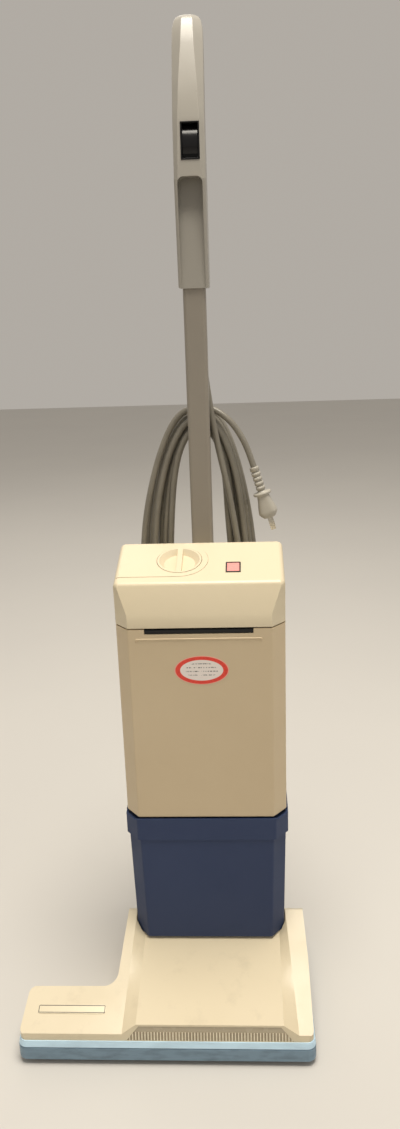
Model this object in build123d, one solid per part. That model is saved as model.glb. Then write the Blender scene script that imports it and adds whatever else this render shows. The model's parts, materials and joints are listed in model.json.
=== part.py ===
"""Upright vacuum cleaner: a low power nozzle with an edge arm, an upright motor and
bag housing that tilts back on the rear axle, and a slim tube handle with a grip.

Millimetres, +Z up.  The helpers below place everything from the middle of the
upright (x = 0), the front of the bumper (y = 0) and the floor (z = 0); save() moves
each piece so that the part's origin is the bottom centre of the whole cleaner.
"""
from build123d import *
from math import pi, radians, tan
import os

# ---- driving dimensions -------------------------------------------------------------
WALL = 3.0                        # moulded shell thickness

BASE_LEFT, BASE_RIGHT = -228.0, 128.0          # bumper to bumper: 356 mm cleaning width
BASE_DEPTH = 232.0
ARM_INNER = -115.0                # where the edge arm meets the main part of the base
ARM_DEPTH = 57.0
BUMPER_LOW, BUMPER_TOP = 7.0, 33.0
BUMPER_OUT = 3.0                  # how far the bumper stands out of the cover
BUMPER_GROOVE, GROOVE_HEIGHT = 23.4, 1.3
FACE_LEAN = 5.2                   # the cover's front wall leans back this much up to z = 60
STRIP_TOP = 40.4                  # top of the upright strip above the bumper
SHOULDER_Y, SHOULDER_Z = 152.0, 100.0
FACE_Y = 3.0                      # front wall of the cover, behind the bumper
RAIL_SLOPE = (SHOULDER_Z - STRIP_TOP) / (SHOULDER_Y - FACE_Y)
FLANK_LEFT, FLANK_RIGHT, FLANK_BACK = -103.0, 108.0, 98.0   # outer edges of the deck's flanks
DECK_FRONT_Z, DECK_BACK_Z = 53.0, 78.5
DECK_FRONT_Y, DECK_BACK_Y = 7.0, 121.0
DECK_LEFT, DECK_RIGHT = -85.5, 89.5
WINDOW_SPREAD = 12.0              # how much wider the lamp window is at its foot than the deck
WELL_FRONT = 131.0                # the open well that the upright swings in
WELL_HALF, WELL_WAIST = 97.6, 80.0
WELL_SIDE_FRONT = 142.0           # where the well reaches its full width
AXLE_Y, AXLE_Z, AXLE_R = 215.0, 32.0, 4.0      # rear axle, also the tilt pivot
WHEEL_R, WHEEL_WIDTH, WHEEL_X = 32.0, 20.0, 82.0
ROLLER_R, ROLLER_Y, ROLLER_X = 9.0, 84.0, 88.0
RIBS, RIB_PITCH, RIB_TOP = 50, 3.7, 43.5       # upright ribs on the lamp window
BRUSH_Y, BRUSH_Z, BRUSH_R = 34.0, 24.5, 15.5
BRISTLE_REACH = 4.0
BADGE_X, BADGE_Y = -166.3, 31.0
BRUSH_LEFT, BRUSH_RIGHT = -211.0, 103.0
TUFTS, TUFT_PITCH = 13, 24.0
MOTOR_Y, MOTOR_Z, MOTOR_R = 98.0, 38.0, 21.0
MOTOR_PULLEY_R, BRUSH_PULLEY_R = 7.0, 13.0
BELT_X, BELT_WIDTH, BELT_THICK = 113.0, 7.0, 1.6
HOSE_X, HOSE_Y = 7.0, 154.0
VAC_Y, VAC_R, VAC_LOW, VAC_TOP, SHAFT_R = 184.0, 48.0, 98.0, 218.0, 5.0      # the suction motor
FILTER_LOW = 240.4
PEDAL_Y, PEDAL_Z = 226.0, 50.5

BODY_FRONT, BODY_BACK = 121.4, 246.0
BODY_LOW, RIM_LOW, RIM_TOP = 83.0, 228.5, 257.6
DOOR_LOW, DOOR_TOP, HEAD_LOW = 259.2, 508.4, 510.0
HALF_LOW, HALF_BLUE, HALF_RIM, HALF_TOP = 96.0, 99.0, 102.0, 100.0
CHAMFER_X, CHAMFER_Y = 16.0, 19.0
DOOR_BACK = 150.0                 # the door's side walls end here
HOUSING_SPLIT = 186.0             # front and rear halves of the motor housing
FOREHEAD_LOW = 525.5
BROW_Y, BROW_Z = 133.5, 561.4     # front edge of the sloping top face
CREST_Y, CREST_Z = 217.0, 586.9   # back edge of the sloping top face
HINGE_Y, HINGE_Z = 128.2, 264.6
DUCT_X, DUCT_Y, BAG_MOUTH_Z = 78.0, 222.0, 478.0
KNOB_X, KNOB_Y, KNOB_R = -24.5, 178.5, 26.7
DISH_FLOOR_R, DISH_RIM_R, DISH_DEPTH = 18.6, 24.6, 6.6
COVER_R = 34.5
HEAD_ROUND = 7.0
INDICATOR_X, INDICATOR_Y, PILOT_WIDE, PILOT_LONG = 40.0, 162.0, 17.4, 20.6
LATCH_X, LATCH_LOW, LATCH_HALF = -1.0, 502.6, 63.0

TUBE_HALF, TUBE_FRONT, TUBE_BACK = 13.5, 252.0, 272.0
TUBE_LOW, TUBE_TOP, TUBE_WALL = 303.0, 930.0, 1.6
BRACKET_HALF, BRACKET_BACK, BOLT_Y = 22.0, 277.0, 262.0
GRIP_HALF, GRIP_BACK, GRIP_LOW, LIP_Z, GRIP_TOP = 18.0, 286.0, 886.0, 1007.0, 1181.0
SCOOP_HALF = 14.2
GRIP_WALL, GRIP_JOIN = 2.6, 1003.0        # the grip's wall, and where its skirt meets the upper part
# height: (front y, depth, half width, half of the front panel, flank depth, back round)
GRIP_SECTIONS = {GRIP_JOIN: (239.0, 47, 18, 13.5, 4, 4), 1066: (246.7, 43, 18, 12, 6, 8),
                 1105: (258.6, 40, 18, 10.4, 8, 11), 1147: (274.0, 36, 17.9, 7.4, 10, 11.5),
                 1166: (282.5, 32, 17.4, 6.6, 9.5, 11), 1175: (289.0, 26, 15.4, 6.2, 8, 9),
                 1179: (293.1, 21, 12.9, 5.4, 6, 7), GRIP_TOP: (297.5, 15, 9.5, 4.2, 3.6, 4.6)}
SWITCH_X, SWITCH_Z, SWITCH_HALF_X, SWITCH_HALF_Z = 1.5, 1043.0, 9.6, 19.0
SWITCH_Y, SWITCH_LEAN, SWITCH_DEPTH, SWITCH_OUT = 243.9, 7.0, 17.4, 0.8

CORD_R = 4.0
CORD_Y = 277.5                    # plane of the loose stretches, behind the tube
HANK_FRONT, HANK_BACK = 282.0, 300.0
UPPER_HOOK_Z, LOWER_HOOK_Z, HOOK_BACK, HOOK_THICK = 712.0, 274.0, 306.0, 9.0
RELIEF_LENGTH, BLADE_LENGTH, BLADE_SPACING = 34.0, 16.5, 12.7

RELIEF_X, RELIEF_Y, RELIEF_FOOT = 6.0, 279.0, 846.0      # where the cord leaves the grip
LEAD_ROUTE = [(RELIEF_X, RELIEF_Y, RELIEF_FOOT), (RELIEF_X, RELIEF_Y, 812), (12, CORD_Y, 756),
              (21, CORD_Y, 700), (33, CORD_Y, 645), (42, CORD_Y, 590), (50, CORD_Y, 530), (53, CORD_Y, 470),
              (51, CORD_Y, 415)]
TAIL_ROUTE = [(38, CORD_Y, 728), (50, CORD_Y, 711), (60, CORD_Y, 691), (67, CORD_Y - 1, 668)]

ORIGIN = Vector(-50.153, 158.116, 0)  # bottom centre of the whole cleaner


# ---- helpers ------------------------------------------------------------------------
def save(name, *shapes):
    """Write one node; several shapes stay separate solids of that node."""
    solids = [piece for shape in shapes for piece in shape.solids()]
    moved = [piece.moved(Location(-ORIGIN)) for piece in solids]
    node = moved[0] if len(moved) == 1 else Compound(children=moved)
    export_step(node, "parts/" + name + ".step")


def block(x0, x1, y0, y1, z0, z1):
    """A box from its low and high limits."""
    middle = Location(((x0 + x1) / 2, (y0 + y1) / 2, (z0 + z1) / 2))
    return middle * Box(x1 - x0, y1 - y0, z1 - z0)


def rod_x(y, z, radius, x0, x1):
    """A round bar along x."""
    return Location(((x0 + x1) / 2, y, z), (0, 90, 0)) * Cylinder(radius, x1 - x0)


def rod_y(x, z, radius, y0, y1):
    """A round bar along y."""
    return Location((x, (y0 + y1) / 2, z), (90, 0, 0)) * Cylinder(radius, y1 - y0)


def rod_z(x, y, radius, z0, z1):
    """A round bar along z."""
    return Location((x, y, (z0 + z1) / 2)) * Cylinder(radius, z1 - z0)


def side_prism(points, x0, x1):
    """A side outline of (y, z) points, carried from x0 to x1."""
    face = make_face(Polyline(*[(x0, y, z) for y, z in points], close=True))
    return extrude(face, x1 - x0, dir=(1, 0, 0))


def along(points, radii, section):
    """Sweep a round section along straight runs joined by tangent arcs."""
    path = FilletPolyline(*points, radius=radii)
    start = Vector(points[0])
    plane = Plane(start, z_dir=Vector(points[1]) - start)
    return sweep(plane * section, path=path)


def arc_radii(points):
    """As large an arc as each corner's two runs allow."""
    radii = []
    for before, corner, after in zip(points, points[1:], points[2:]):
        one = Vector(corner) - Vector(before)
        two = Vector(after) - Vector(corner)
        turn = radians(one.get_angle(two))
        radii.append(0.45 * min(one.length, two.length) / tan(turn / 2))
    return radii


# ---- base ---------------------------------------------------------------------------
def base_plan(grow=0.0):
    """Plan of the nozzle: the main part and the edge arm, grown outwards by grow."""
    left, right, back = BASE_LEFT + BUMPER_OUT - 1.2, BASE_RIGHT - BUMPER_OUT, BASE_DEPTH
    points = [(left, FACE_Y), (right, FACE_Y), (right - 1, 90), (right - 4, 150), (right - 6, back),
              (-108, back), (-109, SHOULDER_Y), (ARM_INNER, ARM_DEPTH + 0.5), (left + 4, ARM_DEPTH)]
    radii = [8, 8, 60, 60, 16, 16, 80, 17, 9]
    face = make_face(FilletPolyline(*points, radius=radii, close=True))
    return offset(face, grow) if grow else face


def top_section(y, inset):
    """Outline of the cover across the nozzle at depth y: strips, flanks and deck."""
    rail = STRIP_TOP + RAIL_SLOPE * (y - FACE_Y) - inset
    slope = (DECK_BACK_Z - DECK_FRONT_Z) / (DECK_BACK_Y - DECK_FRONT_Y)
    deck = DECK_FRONT_Z + slope * (y - DECK_FRONT_Y) - inset
    part = y / SHOULDER_Y
    left = FLANK_LEFT + (-FLANK_BACK - FLANK_LEFT) * part
    right = FLANK_RIGHT + (FLANK_BACK - FLANK_RIGHT) * part
    points = [(-300, 0), (-300, rail), (left, rail), (DECK_LEFT, deck), (DECK_RIGHT, deck),
              (right, rail), (300, rail), (300, 0)]
    return make_face(Polyline(*[(x, y, z) for x, z in points], close=True)).face()


def base_form(inset=0.0):
    """Outer form of the cover (inset 0) or of the space inside it."""
    low = Location((0, 0, 12 - 2 * inset)) * extrude(base_plan(-inset), 130)
    tail = [(SHOULDER_Y, 0), (SHOULDER_Y, SHOULDER_Z - inset), (SHOULDER_Y + 6, SHOULDER_Z - 3 - inset),
            (SHOULDER_Y + 33, 58 - inset), (BASE_DEPTH, 39 - inset), (BASE_DEPTH, 0)]
    top = loft([top_section(0, inset), top_section(SHOULDER_Y, inset)], ruled=True)
    top += side_prism(tail, -300, 300)
    ahead = [(-5, BUMPER_TOP), (FACE_Y + inset, BUMPER_TOP), (FACE_Y + FACE_LEAN + inset, 60), (-5, 60)]
    return (low & top) - side_prism(ahead, -300, 300)


def window_opening(margin=0.0):
    """The trapezoid lamp window in the face of the deck."""
    low, high = BUMPER_TOP - margin, DECK_FRONT_Z - 2.2 + margin
    foot_left, foot_right = DECK_LEFT - WINDOW_SPREAD - margin, DECK_RIGHT + WINDOW_SPREAD + margin
    corners = [(foot_left, 0, low), (foot_right, 0, low), (DECK_RIGHT - 3 + margin, 0, high),
               (DECK_LEFT + 3 - margin, 0, high)]
    return extrude(make_face(Polyline(*corners, close=True)), 14, dir=(0, 1, 0))


def well_space(margin=0.0):
    """The open well that the upright swings in, grown by margin."""
    space = block(-WELL_WAIST - margin, WELL_WAIST + margin, WELL_FRONT - margin, 260, 0, 130)
    return space + block(-WELL_HALF - margin, WELL_HALF + margin, WELL_SIDE_FRONT - margin, 260, 0, 130)


def make_base_cover():
    cavity = base_form(WALL)
    cavity -= well_space(WALL)
    cover = base_form() - cavity
    cover -= well_space()
    cover -= window_opening()
    cover -= rod_x(AXLE_Y, AXLE_Z, 7.0, -104, 112)
    cover -= column(HALF_LOW, HALF_LOW, BODY_LOW - 1.4, 130, -1.6)
    cover -= block(HOSE_X - 17.4, HOSE_X + 17.4, 120, 140, 10, 32.4)
    save("base_cover", cover)


def make_base_pan():
    low, top = 8.5, 11.5
    pan = Location((0, 0, low)) * extrude(base_plan(-WALL - 0.3), top - low)
    pan -= block(BRUSH_LEFT - 2, BRUSH_RIGHT + 2, BRUSH_Y - 20.6, BRUSH_Y + 21.4, 0, 20)
    pan -= block(BELT_X - 5, BELT_X + 6, BRUSH_Y - 18, BRUSH_Y + 24, 0, 20)
    pan -= block(-WELL_HALF, WELL_HALF, 188, 260, 0, 20)
    for x in (-ROLLER_X, ROLLER_X):
        pan -= block(x - 9, x + 9, ROLLER_Y - 12, ROLLER_Y + 12, 0, 20)
    for x in (-ROLLER_X - 11, -ROLLER_X + 11, ROLLER_X - 11, ROLLER_X + 11):
        pan += block(x - 1.5, x + 1.5, ROLLER_Y - 6, ROLLER_Y + 6, low, 14.4)
    pan -= rod_x(ROLLER_Y, ROLLER_R, 2.06, -ROLLER_X - 14, ROLLER_X + 14)
    pan += block(BRUSH_LEFT, BRUSH_RIGHT, BRUSH_Y + 22, BRUSH_Y + 24, low, 44) & base_form(WALL + 0.4)
    save("base_pan", pan + pedal_bracket())


def make_sole_plate():
    low, top = 6.8, 8.4
    frame = block(BRUSH_LEFT - 4, BRUSH_RIGHT + 6, 7, 62, low, top)
    frame -= block(BRUSH_LEFT, BRUSH_RIGHT, 15, 53, 0, 20)
    for step in (2.5, 5.5, 8.5):
        x = BRUSH_LEFT + 13 + TUFT_PITCH * step
        frame += block(x - 1.2, x + 1.2, 14, 54, low, top)
    save("sole_plate", frame & extrude(base_plan(-2.0), 20))


def make_bumper():
    """A soft strip round the nozzle: upright below its groove, sloping above it."""
    lower = Location((0, 0, BUMPER_LOW)) * extrude(base_plan(BUMPER_OUT), BUMPER_GROOVE - BUMPER_LOW)
    waist = Location((0, 0, BUMPER_GROOVE)) * extrude(base_plan(BUMPER_OUT - 0.9), GROOVE_HEIGHT)
    shelf = BUMPER_GROOVE + GROOVE_HEIGHT
    upper = Location((0, 0, shelf)) * extrude(base_plan(BUMPER_OUT - 0.2), BUMPER_TOP - shelf, taper=12)
    ring = lower + waist + upper - extrude(base_plan(0.05), 60)
    ring -= block(BASE_LEFT + 16, -90, ARM_DEPTH - 14, 260, 0, 60)
    ring -= block(-130, 140, BASE_DEPTH - 14, 260, 0, 60)
    save("bumper", ring)


def lamp_slope(y_front, thick, margin):
    """A slab parallel to the sloping window."""
    low, high = BUMPER_TOP - 1.0, DECK_FRONT_Z + 1.0
    lean = FACE_LEAN * (high - low) / (60 - BUMPER_TOP)
    points = [(y_front, low), (y_front + lean, high), (y_front + lean + thick, high), (y_front + thick, low)]
    return side_prism(points, BASE_LEFT, BASE_RIGHT) & window_opening(margin)


def make_headlight():
    lens = lamp_slope(3.4, 2.4, -0.25)
    ribs = [block(x, x + RIB_PITCH * 0.4, 0, 12, BUMPER_TOP, RIB_TOP)
            for x in (DECK_LEFT - 5 + RIB_PITCH * step for step in range(RIBS))]
    for rib in ribs:
        lens += lamp_slope(2.6, 1.2, -0.3) & rib
    save("headlight_lens", lens)
    reflector = lamp_slope(7.2, 6.6, -0.8) - lamp_slope(7.0, 5.4, -2.2)
    save("headlight_reflector", reflector)
    bulbs = [rod_x(10.9, 41.0, 1.6, x - 16, x + 16) for x in (-45, 48)]
    save("headlight_bulbs", *bulbs)


def make_brush():
    core = rod_x(BRUSH_Y, BRUSH_Z, BRUSH_R, BRUSH_LEFT, BRUSH_RIGHT)
    core += rod_x(BRUSH_Y, BRUSH_Z, BRUSH_PULLEY_R, BRUSH_RIGHT, BELT_X + 5)
    core += rod_x(BRUSH_Y, BRUSH_Z, 4.0, BRUSH_LEFT - 5, BELT_X + 7.0)
    save("brush_roll", core)
    tufts = []
    for row in range(4):
        for step in range(TUFTS):
            spot = rod_z(0, 0, 2.6, BRUSH_R - 1, BRUSH_R + BRISTLE_REACH)
            x = BRUSH_LEFT + 13 + TUFT_PITCH * step
            angle = row * 90 + 150 * step / (TUFTS - 1)
            tufts.append(Location((x, BRUSH_Y, BRUSH_Z)) * Rot(X=angle) * spot)
    bore = rod_x(BRUSH_Y, BRUSH_Z, BRUSH_R, BRUSH_LEFT, BRUSH_RIGHT)
    save("brush_bristles", *[tuft - bore for tuft in tufts])


def make_bearings():
    """Brush end bearings and the bushes that hold the rear axle in the cover."""
    rings = []
    for low, high in ((BRUSH_LEFT - 6.2, BRUSH_LEFT - 1.0), (BELT_X + 5.6, BELT_X + 7.6)):
        ring = rod_x(BRUSH_Y, BRUSH_Z, 8.0, low, high)
        rings.append(ring - rod_x(BRUSH_Y, BRUSH_Z, 4.05, BRUSH_LEFT - 5.6, BELT_X + 7.2))
    for low, high in ((-103.5, -93.6), (93.6, 111.5)):
        bush = rod_x(AXLE_Y, AXLE_Z, 7.0, low, high)
        rings.append(bush - rod_x(AXLE_Y, AXLE_Z, AXLE_R, low - 1, high + 1))
    save("bearings", *rings)


def make_brush_motor():
    can = rod_x(MOTOR_Y, MOTOR_Z, MOTOR_R, 26, 98) - rod_x(MOTOR_Y, MOTOR_Z, MOTOR_R - 2, 28, 96)
    can -= rod_x(MOTOR_Y, MOTOR_Z, 3.05, 20, 100)
    save("brush_motor_can", can)
    rotor = rod_x(MOTOR_Y, MOTOR_Z, 3.0, 24, BELT_X + 5)
    rotor += rod_x(MOTOR_Y, MOTOR_Z, 14.0, 36, 84)
    rotor += rod_x(MOTOR_Y, MOTOR_Z, MOTOR_PULLEY_R, BELT_X - 5, BELT_X + 5)
    save("brush_motor_rotor", rotor)


def belt_loop(extra):
    """A tangent loop round both pulleys, its radii grown by extra."""
    one, two = BRUSH_PULLEY_R + extra, MOTOR_PULLEY_R + extra
    across = Vector(0, MOTOR_Y - BRUSH_Y, MOTOR_Z - BRUSH_Z)
    length = across.length
    tilt = (one - two) / length
    rise = (1 - tilt * tilt) ** 0.5
    face = Pos(0, 0) * Circle(one) + Pos(length, 0) * Circle(two)
    face += make_face(Polyline((one * tilt, one * rise), (length + two * tilt, two * rise),
                               (length + two * tilt, -two * rise), (one * tilt, -one * rise), close=True))
    plane = Plane(origin=(BELT_X - BELT_WIDTH / 2, BRUSH_Y, BRUSH_Z), x_dir=across, z_dir=(1, 0, 0))
    return extrude(plane * face, BELT_WIDTH)


def make_drive_belt():
    save("drive_belt", belt_loop(BELT_THICK + 0.05) - belt_loop(0.05))


def make_wheels():
    for name, x in (("rear_wheel_left", -WHEEL_X), ("rear_wheel_right", WHEEL_X)):
        low, high = x - WHEEL_WIDTH / 2, x + WHEEL_WIDTH / 2
        bore = rod_x(AXLE_Y, AXLE_Z, AXLE_R + 0.08, low - 5, high + 5)
        wheel = rod_x(AXLE_Y, AXLE_Z, WHEEL_R, low, high)
        wheel = fillet(wheel.edges().filter_by(GeomType.CIRCLE), 3.0)
        recess = rod_x(AXLE_Y, AXLE_Z, WHEEL_R - 8, low - 1, low + 4) + rod_x(AXLE_Y, AXLE_Z, WHEEL_R - 8,
                                                                             high - 4, high + 1)
        hub = rod_x(AXLE_Y, AXLE_Z, 9, low, high)
        save(name, wheel - recess + hub - bore)
    rollers = rod_x(ROLLER_Y, ROLLER_R, 2.0, -ROLLER_X - 12.4, ROLLER_X + 12.4)
    for x in (-ROLLER_X, ROLLER_X):
        rollers += rod_x(ROLLER_Y, ROLLER_R, ROLLER_R, x - 8, x + 8)
    save("front_rollers", rollers)


def make_axle():
    save("rear_axle", rod_x(AXLE_Y, AXLE_Z, AXLE_R, -103.5, 111.5))


def make_nozzle_duct():
    floor, top = 12.0, 32.0
    duct = block(HOSE_X - 17, HOSE_X + 17, BRUSH_Y + 24.4, HOSE_Y + 20, floor, top)
    duct -= block(HOSE_X - 15, HOSE_X + 15, 50, HOSE_Y + 18, floor + 2, top - 2)
    duct += rod_z(HOSE_X, HOSE_Y, 17.0, top - 2, top + 10)
    duct -= rod_z(HOSE_X, HOSE_Y, 15.0, floor + 2, top + 12)
    save("nozzle_duct", duct)


def make_suction_hose():
    low, high, rings = 32.4, 82.6, 9
    pitch = (high - low) / rings
    hose = rod_z(HOSE_X, HOSE_Y, 18.6, low, high)
    for step in range(rings):
        hose += rod_z(HOSE_X, HOSE_Y, 20.6, low + pitch * (step + 0.25), low + pitch * (step + 0.75))
    save("suction_hose", hose - rod_z(HOSE_X, HOSE_Y, 17.1, low - 1, high + 1))


def make_pedal():
    pedal = block(-8, 34, PEDAL_Y, 254, 48, 53)
    pedal = fillet(pedal.edges().filter_by(Axis.Z).sort_by(Axis.Y)[-2:], 8)
    pedal += rod_x(PEDAL_Y, PEDAL_Z, 5.0, -8, 34)
    save("release_pedal", pedal - rod_x(PEDAL_Y, PEDAL_Z, 2.08, -10, 36))
    save("pedal_pin", rod_x(PEDAL_Y, PEDAL_Z, 2.0, -18, 44))


def pedal_bracket():
    """Two cheeks that stand on the pan and hold the pedal's pin."""
    bracket = block(-18, -8.5, 190.4, 234, 30, 58) + block(34.5, 44, 190.4, 234, 30, 58)
    bracket += block(-18, 44, 190.4, 194, 9, 34) + block(-18, 44, 180, 194, 9, 15)
    return bracket - rod_x(PEDAL_Y, PEDAL_Z, 2.0, -30, 60) - rod_x(AXLE_Y, AXLE_Z, 8.5, -30, 60)


# ---- upright body -------------------------------------------------------------------
def body_face(half, inset=0.0, back=BODY_BACK, front=BODY_FRONT):
    """Plan section of the upright: a rectangle with chamfered front corners."""
    points = [(-half + CHAMFER_X, front), (half - CHAMFER_X, front), (half, front + CHAMFER_Y),
              (half, back), (-half, back), (-half, front + CHAMFER_Y)]
    face = make_face(FilletPolyline(*points, radius=[4, 4, 4, 12, 12, 4], close=True))
    return offset(face, -inset) if inset else face


def column(half_low, half_high, z0, z1, inset=0.0, front=BODY_FRONT):
    """A stretch of the upright, its half width changing from half_low to half_high."""
    low = Location((0, 0, z0)) * body_face(half_low, inset, front=front)
    if half_low == half_high:
        return extrude(low, z1 - z0)
    high = Location((0, 0, z1)) * body_face(half_high, inset, front=front)
    return loft([low.face(), high.face()], ruled=True)


def motor_form(inset=0.0):
    form = column(HALF_LOW, HALF_BLUE, BODY_LOW, RIM_LOW - 2, inset)
    form += column(HALF_BLUE, HALF_RIM, RIM_LOW - 2, RIM_LOW, inset, BODY_FRONT - 1.0)
    return form + column(HALF_RIM, HALF_RIM, RIM_LOW, RIM_TOP, inset, BODY_FRONT - 1.6)


def make_motor_housing():
    shell = motor_form() - motor_form(WALL)
    shell += column(HALF_LOW, HALF_LOW, BODY_LOW, BODY_LOW + WALL, 1.0)
    shell -= rod_z(HOSE_X, HOSE_Y, 17.3, BODY_LOW - 1, BODY_LOW + 8)
    shell += column(HALF_RIM, HALF_RIM, 250.5, 253.5, 2.0) - column(HALF_RIM, HALF_RIM, 240, 260, 14.0)
    shell -= block(-200, 200, BODY_FRONT + 1.2, 146, 255.4, 260)
    shell -= rod_z(DUCT_X, DUCT_Y, 14.2, 245, 262)
    front = shell & block(-200, 200, 0, HOUSING_SPLIT, 0, 400)
    rear = shell & block(-200, 200, HOUSING_SPLIT + 0.05, 400, 0, 400)
    rear -= block(-62, 62, 240, 250, 110, 200)
    save("motor_housing_front", front)
    save("motor_housing_rear", rear)


def make_exhaust():
    grille = block(-61.8, 61.8, 243.5, 245.8, 110.2, 199.8)
    for step in range(8):
        z = 117 + 10.4 * step
        grille -= block(-54, 54, 240, 250, z, z + 5)
    save("exhaust_grille", grille)


def make_pivot_yoke():
    yoke = block(-66, -52, 196, 236, 78.8, 82.8) + block(52, 66, 196, 236, 78.8, 82.8)
    yoke += block(-66, 66, 200, 232, 79.8, 82.8)
    for x0, x1 in ((-64, -54), (54, 64)):
        points = [(196, 82.8), (236, 82.8), (226, AXLE_Z - 4), (204, AXLE_Z - 4)]
        yoke += side_prism(points, x0, x1) + rod_x(AXLE_Y, AXLE_Z, 12, x0, x1)
    yoke -= rod_x(AXLE_Y, AXLE_Z, AXLE_R + 0.07, -80, 80)
    save("pivot_yoke", yoke)


def make_suction_motor():
    make_motor_can()
    make_suction_fan()
    lower = rod_z(0, VAC_Y, 44, BODY_LOW + WALL, VAC_LOW) - rod_z(0, VAC_Y, 30, 80, 110)
    upper = rod_z(0, VAC_Y, 44, VAC_TOP, FILTER_LOW - 0.4) - rod_z(0, VAC_Y, 34, 200, 250)
    save("motor_mounts", lower, upper)
    pad = block(-86, 86, 132, 236, FILTER_LOW, FILTER_LOW + 9.6)
    pad = fillet(pad.edges().filter_by(Axis.Z), 12)
    save("motor_filter", pad - rod_z(DUCT_X, DUCT_Y, 16.5, 230, 260))


def make_motor_can():
    """The motor's case, open at its eye and with vents round its foot."""
    can = rod_z(0, VAC_Y, VAC_R, VAC_LOW, VAC_TOP) - rod_z(0, VAC_Y, VAC_R - 2, VAC_LOW + 2, VAC_TOP - 2)
    can -= rod_z(0, VAC_Y, 18, VAC_TOP - 5, VAC_TOP + 5)
    can -= rod_z(0, VAC_Y, SHAFT_R + 0.05, VAC_LOW - 2, VAC_LOW + 5)
    for angle in range(0, 360, 45):
        can -= Location((0, VAC_Y, VAC_LOW + 26), (0, 0, angle)) * Pos(VAC_R, 0, 0) * Box(12, 14, 26)
    save("suction_motor_can", can)


def make_suction_fan():
    """Shaft, armature and a shrouded fan wheel with eight swept blades."""
    fan = rod_z(0, VAC_Y, SHAFT_R, VAC_LOW - 1, VAC_TOP - 8)
    fan += rod_z(0, VAC_Y, 24, VAC_LOW + 12, VAC_LOW + 62)
    fan += rod_z(0, VAC_Y, 40, VAC_TOP - 30, VAC_TOP - 28) + rod_z(0, VAC_Y, 40, VAC_TOP - 12, VAC_TOP - 10)
    for angle in range(0, 360, 45):
        hub = Location((0, VAC_Y, VAC_TOP - 20), (0, 0, angle))
        fan += hub * Pos(24, 0, 0) * Rot(Z=25) * Box(30, 1.6, 17)
    save("suction_fan", fan)


def make_bag_housing():
    outer = column(HALF_TOP, HALF_TOP, RIM_TOP + 0.05, HEAD_LOW - 0.05)
    shell = outer - column(HALF_TOP, HALF_TOP, 200, 600, WALL)
    shell = shell & block(-200, 200, DOOR_BACK + 0.4, 400, 0, 600)
    flange = column(HALF_TOP, HALF_TOP, RIM_TOP + 4, HEAD_LOW - 4, WALL - 0.5)
    flange -= column(HALF_TOP, HALF_TOP, 200, 600, WALL + 6)
    shell += flange & block(-200, 200, DOOR_BACK + 0.4, DOOR_BACK + 3.4, 0, 600)
    floor = column(HALF_TOP, HALF_TOP, RIM_TOP + 0.05, RIM_TOP + 2.6, WALL - 0.5)
    floor = floor & block(-200, 200, DOOR_BACK + 1, 400, 0, 400)
    floor += block(-90, 90, 137.5, DOOR_BACK + 2, RIM_TOP + 0.05, RIM_TOP + 2.6)
    for row in range(4):
        for step in range(7):
            floor -= rod_z(-66 + 20 * step, 162 + 18 * row, 5, 250, 265)
    shell += floor
    for x in (-54, 54):
        ear = rod_x(HINGE_Y, HINGE_Z, 3.0, x - 4, x + 4) + block(x - 4, x + 4, HINGE_Y, 141, HINGE_Z - 3,
                                                                HINGE_Z + 3)
        ear += block(x - 4, x + 4, 137.5, 141, RIM_TOP + 1, HINGE_Z + 3)
        shell += ear - rod_x(HINGE_Y, HINGE_Z, 1.5, x - 9, x + 9)
    shell -= rod_z(DUCT_X, DUCT_Y, 14.2, 250, 270)
    save("bag_housing", shell)


def make_dirt_duct():
    """The pipe that carries dirt up the rear corner and turns into the bag's collar."""
    route = [(DUCT_X, DUCT_Y, 100), (DUCT_X, DUCT_Y, BAG_MOUTH_Z), (46.5, 196, BAG_MOUTH_Z)]
    save("dirt_duct", along(route, [26], Circle(14.0)) - along(route, [26], Circle(12.0)))


def make_dust_bag():
    bag = block(-84, 36.5, 142, 234, 270, 490)
    save("dust_bag", fillet(bag.edges(), 14))


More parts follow.
